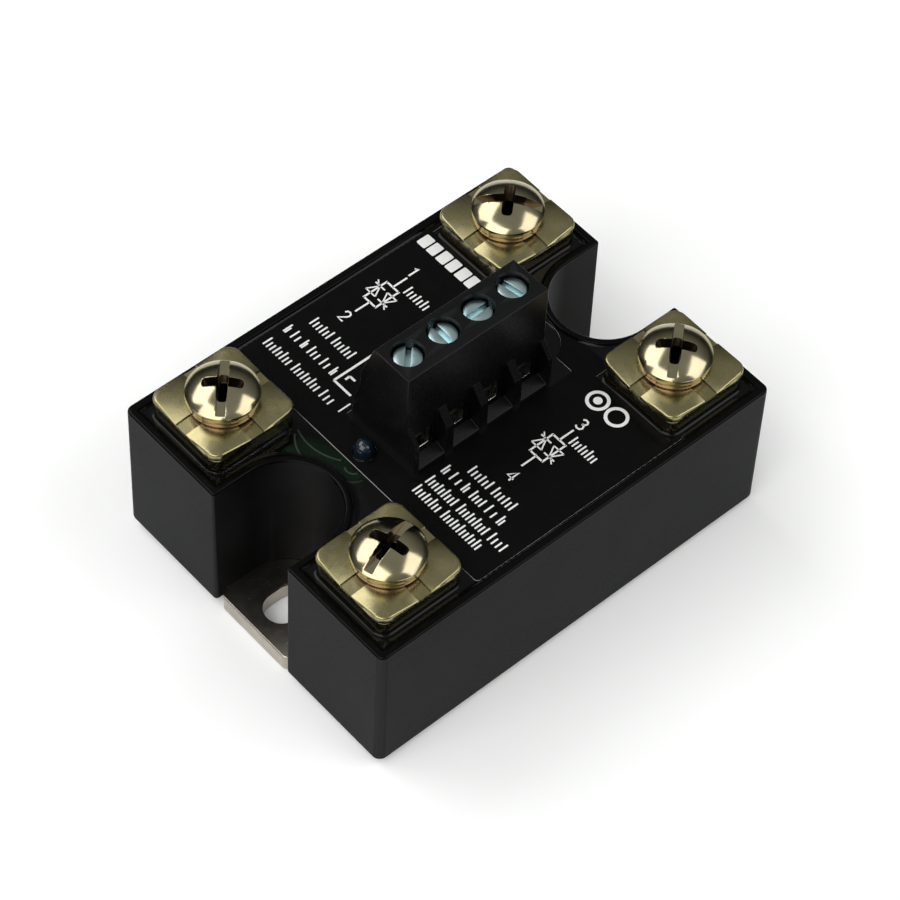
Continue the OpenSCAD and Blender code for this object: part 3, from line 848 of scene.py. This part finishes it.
def spring_washer(i, steel):
    """Split ring of square section whose ends sit at slightly different heights."""
    low, high = box(f"spring_washer_{i}")
    cx, cy = terminal_centre(i)
    outer, inner, rise = (high.x - low.x) / 2, WASHER_HOLE_R, WASHER_RISE
    split = math.radians(4)
    start = math.radians(SLOT_TURN[i - 1] + 60)
    section = rounded_rect((outer + inner) / 2, 0, (outer - inner) / 2, (high.z - low.z) / 2 - rise, 0.16, 3)
    rings = []
    steps = 84
    for k in range(steps + 1):
        share = k / steps
        a = start + split + (math.tau - 2 * split) * share
        z = (low.z + high.z) / 2 + rise * (2 * share - 1)
        rings.append([(cx + r * math.cos(a), cy + r * math.sin(a), z + dz) for r, dz in section])
    shape = Shape().loft(rings)
    return build(f"washer_{i}", shape, f"output_clamp_{i}", "washer_steel", [steel], f"spring_washer_{i}")


def prism(loop_low, z_low, loop_high, z_high):
    return Shape().loft([at_height(loop_low, z_low), at_height(loop_high, z_high)])


def spun(loop, cx, cy, degrees):
    """A loop turned about the origin and moved to (cx, cy)."""
    c, s = math.cos(math.radians(degrees)), math.sin(math.radians(degrees))
    return [(cx + x * c - y * s, cy + x * s + y * c) for x, y in loop]


def cross_loop(reach, width, r):
    """Outline of a cross recess with rounded arm ends."""
    loop = []
    for quarter in range(4):
        arm = [(width / 2, width / 2)]
        arm += arc(width / 2 - r, reach - r, r, 0, 90, 3)
        arm += arc(-width / 2 + r, reach - r, r, 90, 180, 3)
        loop += spun(arm, 0, 0, 90 * quarter)
    return loop


def output_screw(i, metal, recess_shade):
    """Pan-head screw: domed head, straight slot across a cross recess, rolled thread; the recess walls carry
    a painted shade.
    """
    low, high = box(f"output_screw_{i}")
    cx, cy = terminal_centre(i)
    r = (high.x - low.x) / 2
    under = high.z - HEAD_H
    dome_h = high.z - under - HEAD_RIM
    dome_r = (r * r + dome_h * dome_h) / (2 * dome_h)
    profile = [(0, under), (r - 0.25, under), (r - 0.07, under + 0.07), (r, under + 0.22),
               (r, under + HEAD_RIM - 0.2), (r - 0.02, under + HEAD_RIM - 0.06)]
    for k in range(1, 14):
        here = (r - 0.05) * (1 - k / 14)
        profile.append((here, high.z - dome_r + math.sqrt(dome_r ** 2 - here ** 2)))
    profile.append((0, high.z))
    head = Shape().lathe(cx, cy, profile, 96)
    slot = rounded_rect(0, 0, r + 1, HEAD_SLOT_W / 2, 0.02, 1)
    slot_foot = rounded_rect(0, 0, r + 1, HEAD_SLOT_W / 2 - 0.05, 0.02, 1)
    angle = SLOT_TURN[i - 1]
    slot_cut = prism(spun(slot_foot, cx, cy, angle), high.z - HEAD_SLOT_D,
                     spun(slot, cx, cy, angle), high.z + 0.5)
    recess = prism(spun(cross_loop(1.5, 0.9, 0.3), cx, cy, angle), high.z - 2.2,
                   spun(cross_loop(2.6, 1.35, 0.5), cx, cy, angle), high.z + 0.05)
    head_mesh = carved(head, [slot_cut, recess], bevel=0.05)
    shank = Shape().thread(cx, cy, low.z, under + 0.3, SHANK_R, PITCH, 0.4)

    # painted shade: steep faces inside the slot and cross recess get the dark second material
    def gets_painted_shade(spot, normal):
        across = math.hypot(spot.x - cx, spot.y - cy)
        return across < r - 0.35 and spot.z > under + 0.35 and normal.z < 0.72

    mesh = joined(f"screw_{i}", [head_mesh, mesh_of("shank", shank, [])], [metal, recess_shade], shaded=gets_painted_shade)
    return piece(f"screw_{i}", mesh, f"output_screw_{i}", "screw_nickel", f"output_screw_{i}")


def control_screw(i, metal):
    low, high = box(f"control_screw_{i}")
    spot = (low + high) / 2
    r = (high.x - low.x) / 2
    under = high.z - CONTROL_HEAD_H
    profile = [(0, under), (r - 0.12, under), (r, under + 0.12), (r, high.z - 0.14),
               (r - 0.05, high.z - 0.04), (r - 0.14, high.z), (0, high.z)]
    head = Shape().lathe(spot.x, spot.y, profile, 64)
    slot = rounded_rect(0, 0, r + 1, CONTROL_SLOT_W / 2, 0.02, 1)
    slot = spun(slot, spot.x, spot.y, CONTROL_SLOT_TURN[i - 1])
    slot_cut = prism(slot, high.z - CONTROL_SLOT_D, slot, high.z + 0.5)
    head_mesh = carved(head, [slot_cut], bevel=0.04)
    shank = Shape().thread(spot.x, spot.y, low.z, under + 0.3, CONTROL_SHANK_R, CONTROL_PITCH, 0.26, 28, 6)
    mesh = joined(f"control_screw_body_{i}", [head_mesh, mesh_of("shank", shank, [])], [metal])
    return piece(f"control_screw_body_{i}", mesh, f"control_screw_{i}", "screw_zinc", f"control_screw_{i}")


def led(i, epoxy, metal):
    """Clear lens with the flange below the resin, and the two posts of its lead frame inside."""
    low, high = box(f"led_lens_{i}")
    spot = middle(f"led_lens_{i}")
    r = led_radius()
    flange = (high.x - low.x) / 2
    base = high.z - r
    step = low.z + LED_FLANGE_H
    profile = [(0, low.z), (flange, low.z), (flange, step - 0.1), (flange - 0.1, step), (r, step)]
    for t in range(0, 90, 9):
        a = math.radians(t)
        profile.append((r * math.cos(a), base + r * math.sin(a)))
    profile.append((0, high.z))
    lens = build(f"lens_{i}", Shape().lathe(spot.x, spot.y, profile, 48), "root", "led_epoxy", [epoxy],
                 f"led_lens_{i}")
    shape = Shape()
    cup = base - 0.7
    anvil = [(0, cup), (0.55, cup), (0.62, cup + 0.2), (0.62, cup + 0.65), (0.5, cup + 0.65),
             (0.3, cup + 0.4), (0, cup + 0.38)]
    shape.lathe(spot.x, spot.y + 0.25, anvil, 28)
    foot = rounded_rect(spot.x, spot.y + 0.55, 0.22, 0.22, 0.04, 2)
    shape.loft([at_height(foot, low.z + 0.1), at_height(foot, cup + 0.1)])
    post = rounded_rect(spot.x, spot.y - 0.75, 0.25, 0.2, 0.04, 2)
    shape.loft([at_height(post, low.z + 0.1), at_height(post, cup + 0.8)])
    frame_piece = build(f"led_frame_{i}", shape, "root", "lead_metal", [metal])
    return lens, frame_piece


# ---- scene ---------------------------------------------------------------------------------

CAM_AZIMUTH, CAM_ELEVATION, CAM_ROLL = -43.666, 52.499, 3.09
CAM_DISTANCE = 396.27
CAM_SHIFT = (0.7165, 6.211)     # how far the view's centre is off the aim point, to the right and up
CAM_LENS = 134.87


def camera():
    azimuth, elevation, roll = (math.radians(a) for a in (CAM_AZIMUTH, CAM_ELEVATION, CAM_ROLL))
    back = Vector((math.sin(azimuth) * math.cos(elevation), -math.cos(azimuth) * math.cos(elevation),
                   math.sin(elevation)))
    level = (-back).cross(Vector((0, 0, 1))).normalized()
    rise = level.cross(-back)
    right = level * math.cos(roll) + rise * math.sin(roll)
    up = rise * math.cos(roll) - level * math.sin(roll)
    aim = Vector((0, 0, CASE_LOW.z))
    data = bpy.data.cameras.new("camera")
    data.lens = CAM_LENS
    data.clip_start = 0.01
    obj = bpy.data.objects.new("camera", data)
    turn_to = Matrix((right, up, back)).transposed().to_4x4()
    spot = (aim + back * CAM_DISTANCE + right * CAM_SHIFT[0] + up * CAM_SHIFT[1]) * MM
    obj.matrix_world = Matrix.Translation(spot) @ turn_to
    SCENE.collection.objects.link(obj)
    SCENE.camera = obj


def softbox(name, azimuth, elevation, distance, size, power, colour=(1, 1, 1)):
    """An area light that looks at the object. Azimuth 0 is along -Y, as for the camera."""
    az, el = math.radians(azimuth), math.radians(elevation)
    away = Vector((math.sin(az) * math.cos(el), -math.cos(az) * math.cos(el), math.sin(el)))
    data = bpy.data.lights.new(name, "AREA")
    data.shape = "RECTANGLE"
    data.size, data.size_y = size[0] * MM, size[1] * MM
    data.energy = power
    data.color = colour
    obj = bpy.data.objects.new(name, data)
    turn_to = away.to_track_quat("Z", "Y").to_matrix().to_4x4()
    obj.matrix_world = Matrix.Translation(away * distance * MM) @ turn_to
    SCENE.collection.objects.link(obj)


def floor():
    f = Finish("floor_paper", roughness=0.9)
    f.shader.inputs["Specular IOR Level"].default_value = 0.1
    f.shader.inputs["Emission Color"].default_value = (1, 1, 1, 1)
    f.shader.inputs["Emission Strength"].default_value = 0.1
    f.set("Base Color", f.blend(f.noise(40, 2), (0.93, 0.93, 0.93), (0.96, 0.96, 0.96)))
    half = 3000
    low = -0.05
    corners = [(-half, -half, low), (half, -half, low), (half, half, low), (-half, half, low)]
    shape = Shape().add(corners, [(0, 1, 2, 3)])
    obj = bpy.data.objects.new("floor", mesh_of("floor", shape, [f.material]))
    SCENE.collection.objects.link(obj)


def world():
    SCENE.world = bpy.data.worlds.new("studio")
    SCENE.world.use_nodes = True
    tree = SCENE.world.node_tree
    background = tree.nodes["Background"]
    background.inputs["Color"].default_value = (0.96, 1.0, 0.95, 1)
    split = tree.nodes.new("ShaderNodeSeparateXYZ")
    tree.links.new(tree.nodes.new("ShaderNodeTexCoord").outputs["Generated"], split.inputs[0])
    lift = tree.nodes.new("ShaderNodeMapRange")
    for socket, number in zip(("From Min", "From Max", "To Min", "To Max"), (0.2, 0.8, 0.03, 0.36)):
        lift.inputs[socket].default_value = number
    tree.links.new(split.outputs["Z"], lift.inputs["Value"])
    tree.links.new(lift.outputs["Result"], background.inputs["Strength"])
    SCENE.view_settings.view_transform = "Standard"


# Distances from the left notch's centre between which the resin clears, and clouds again.
CLEAR_FROM = (7.6, 8.2)
CLEAR_TO = (12.6, 11.0)


def materials():
    made = {}
    case = moulded("case_plastic", (0.003, 0.003, 0.0034), (0.0055, 0.0055, 0.006), 0.5, specular=0.08)
    # darker and glossier over the top 0.25 to 0.35 mm of the case
    rim_band = case.ramp(case.axis("Z"), (CASE_HIGH.z - 0.35) * MM, (CASE_HIGH.z - 0.25) * MM)
    tone = case.shader.inputs["Base Color"].links[0].from_socket
    case.set("Base Color", case.blend(rim_band, tone, (0.002, 0.002, 0.002)))
    rough = case.shader.inputs["Roughness"].links[0].from_socket
    case.set("Roughness", case.maths("SUBTRACT", rough, case.maths("MULTIPLY", rim_band, 0.32)))
    made["case"] = case.material

    resin = Finish("resin", roughness=0.1)
    resin.shader.inputs["Specular IOR Level"].default_value = 0.15
    resin.set("Base Color", resin.blend(resin.noise(3.0, 3), (0.002, 0.002, 0.002), (0.004, 0.0045, 0.004)))
    resin.set("Roughness", resin.ramp(resin.noise(1.5, 4), 0.35, 0.7, 0.06, 0.16))
    ring = resin.distance(-NOTCH_X, 0)
    window = resin.maths("MULTIPLY", resin.ramp(ring, *CLEAR_FROM), resin.ramp(ring, *CLEAR_TO))
    side = resin.ramp(resin.axis("Y"), -3.5 * MM, -1.0 * MM)
    clear = resin.maths("MULTIPLY", window, side)
    depth = resin.ramp(resin.axis("Z"), (RESIN_LOW.z + 0.2) * MM, (RESIN_HIGH.z - 0.2) * MM, 1.0, 0.36)
    resin.set("Alpha", resin.maths("SUBTRACT", 1.0, resin.maths("MULTIPLY", clear, depth)))
    resin.bump(resin.noise(2.2, 2), 0.02)
    made["resin"] = resin.material

    film = Finish("label_film", roughness=0.3)
    film.shader.inputs["Specular IOR Level"].default_value = 0.06
    film.set("Base Color", film.blend(film.noise(2.0, 3), (0.002, 0.002, 0.002), (0.004, 0.004, 0.004)))
    film.set("Roughness", film.ramp(film.noise(0.9, 4), 0.3, 0.7, 0.24, 0.36))
    film.bump(film.noise(0.25, 3), 0.0015)
    made["film"] = film.material

    # painted highlight: pale colour for the label's cut edges, where they catch the light
    core = Finish("label_core", roughness=0.5)
    core.set("Base Color", core.blend(core.noise(0.6, 3), (0.7, 0.7, 0.68), (0.9, 0.9, 0.88)))
    made["core"] = core.material

    ink = Finish("label_ink", roughness=0.42)
    ink.set("Base Color", ink.blend(ink.noise(0.35, 3), (0.74, 0.74, 0.73), (0.86, 0.86, 0.85)))
    ink.bump(ink.noise(0.12, 2), 0.002)
    made["ink"] = ink.material

    made["housing"] = moulded("terminal_plastic", (0.002, 0.002, 0.0023), (0.004, 0.004, 0.0045), 0.3,
                              grain=0.2, depth=0.003, specular=0.2).material
    made["clamp"] = plated("clamp_nickel", (0.35, 0.305, 0.165), (0.31, 0.27, 0.14), 0.28)
    made["terminal"] = plated("terminal_nickel", (0.42, 0.36, 0.24), (0.32, 0.27, 0.17), 0.2)
    made["screw"] = plated("screw_nickel", (0.43, 0.38, 0.25), (0.37, 0.32, 0.2), 0.15)
    # painted shade for the steep walls inside the output screws' slot and recess
    made["recess"] = plated("screw_recess_painted_shade", (0.16, 0.12, 0.08), (0.08, 0.06, 0.04), 0.35)
    made["washer"] = plated("washer_steel", (0.52, 0.38, 0.31), (0.42, 0.3, 0.24), 0.16)
    made["zinc"] = plated("screw_zinc", (0.5, 0.66, 0.68), (0.42, 0.56, 0.6), 0.3)
    made["cage"] = plated("cage_nickel", (0.74, 0.72, 0.68), (0.6, 0.58, 0.54), 0.25)
    made["contact"] = plated("contact_metal", (0.8, 0.76, 0.66), (0.66, 0.62, 0.52), 0.22)
    made["base"] = plated("nickel_plate", (0.48, 0.44, 0.38), (0.36, 0.32, 0.28), 0.24,
                          depth=0.0008, stretch=(0.2, 1, 1))
    made["lead"] = plated("lead_metal", (0.78, 0.78, 0.78), (0.62, 0.62, 0.62), 0.25)
    made["copper"] = plated("copper", (0.78, 0.42, 0.26), (0.6, 0.3, 0.18), 0.32)
    made["pin"] = plated("pin_metal", (0.8, 0.72, 0.5), (0.66, 0.58, 0.38), 0.28)

    board = Finish("board_laminate", roughness=0.35)
    board.set("Base Color", board.blend(board.noise(0.5, 4), (0.015, 0.11, 0.035), (0.03, 0.17, 0.055)))
    board.bump(board.noise(0.3, 3, stretch=(1, 4, 1)), 0.01)
    made["board"] = board.material

    tracks = Finish("board_tracks", roughness=0.3)
    tracks.set("Base Color", tracks.blend(tracks.noise(0.6, 4), (0.3, 0.42, 0.3), (0.5, 0.6, 0.46)))
    tracks.bump(tracks.noise(0.2, 3), 0.004)
    made["tracks"] = tracks.material

    alumina = Finish("alumina", roughness=0.6)
    alumina.set("Base Color", alumina.blend(alumina.noise(0.8, 4), (0.78, 0.78, 0.75), (0.88, 0.88, 0.86)))
    alumina.bump(alumina.noise(0.05, 3), 0.003)
    made["alumina"] = alumina.material

    silicon = Finish("silicon", roughness=0.2, metallic=0.8)
    silicon.set("Base Color", silicon.blend(silicon.noise(1.2, 3), (0.1, 0.11, 0.14), (0.2, 0.21, 0.25)))
    silicon.bump(silicon.noise(0.4, 2), 0.002)
    made["silicon"] = silicon.material

    made["package"] = moulded("package_epoxy", (0.014, 0.014, 0.015), (0.03, 0.03, 0.032), 0.55).material
    made["resistor"] = moulded("resistor_body", (0.012, 0.012, 0.014), (0.022, 0.022, 0.024), 0.4).material
    made["capacitor"] = moulded("capacitor_epoxy", (0.42, 0.05, 0.03), (0.55, 0.08, 0.05), 0.32,
                                grain=0.6, depth=0.02).material

    lens = Finish("led_epoxy", roughness=0.04, IOR=1.6, Alpha=0.86)
    lens.set("Base Color", lens.blend(lens.noise(1.2, 2), (0.003, 0.007, 0.014), (0.008, 0.018, 0.032)))
    lens.bump(lens.noise(1.5, 1), 0.0004)
    made["lens"] = lens.material
    return made


# CAD nodes that keep their shape, and the finish each gets.
CARRIED = {
    "led_leads": "lead", "circuit_board": "board", "phototriac_couplers": "package",
    "gate_resistors": "resistor", "snubber_resistors": "resistor", "snubber_capacitors": "capacitor",
    "input_regulators": "package", "input_diodes": "package",
}
for channel in (1, 2):
    CARRIED.update({
        f"tile_back_copper_{channel}": "copper", f"ceramic_tile_{channel}": "alumina",
        f"tile_tracks_{channel}": "copper", f"thyristor_dies_{channel}": "silicon",
        f"cathode_clips_{channel}": "copper", f"gate_pins_{channel}": "pin",
    })


def repaint(node, material):
    obj = frame["nodes"][node]
    obj.data.materials.clear()
    obj.data.materials.append(material)


camera()
world()
floor()
softbox("key", -80, 48, 800, (700, 600), 3.6)
softbox("fill", 40, 45, 900, (700, 500), 2.6)
softbox("back", -160, 50, 900, (700, 500), 3.2)

look = materials()
for node, finish in CARRIED.items():
    repaint(node, look[finish])
bevelled("base_plate_body", "base_plate", "root", "nickel_plate", look["base"], 0.18, 2)
case_shell(look["case"])
potting_resin(look["resin"])
board_tracks(look["tracks"])
label(look["film"], look["core"])
label_print(look["ink"])
bevelled("terminal_block", "terminal_housing", "root", "terminal_plastic", look["housing"], 0.14, 2)
bevelled("contact_bars_body", "contact_bars", "root", "contact_metal", look["contact"], 0.06, 2)
for i in TERMINALS:
    output_terminal(i, look["terminal"])
    clamp_plate(i, look["clamp"])
    spring_washer(i, look["washer"])
    output_screw(i, look["screw"], look["recess"])
    control_screw(i, look["zinc"])
    bevelled(f"cage_{i}", f"wire_cage_{i}", f"wire_cage_{i}", "cage_nickel", look["cage"], 0.08, 2)
for i in LEDS:
    led(i, look["lens"], look["lead"])
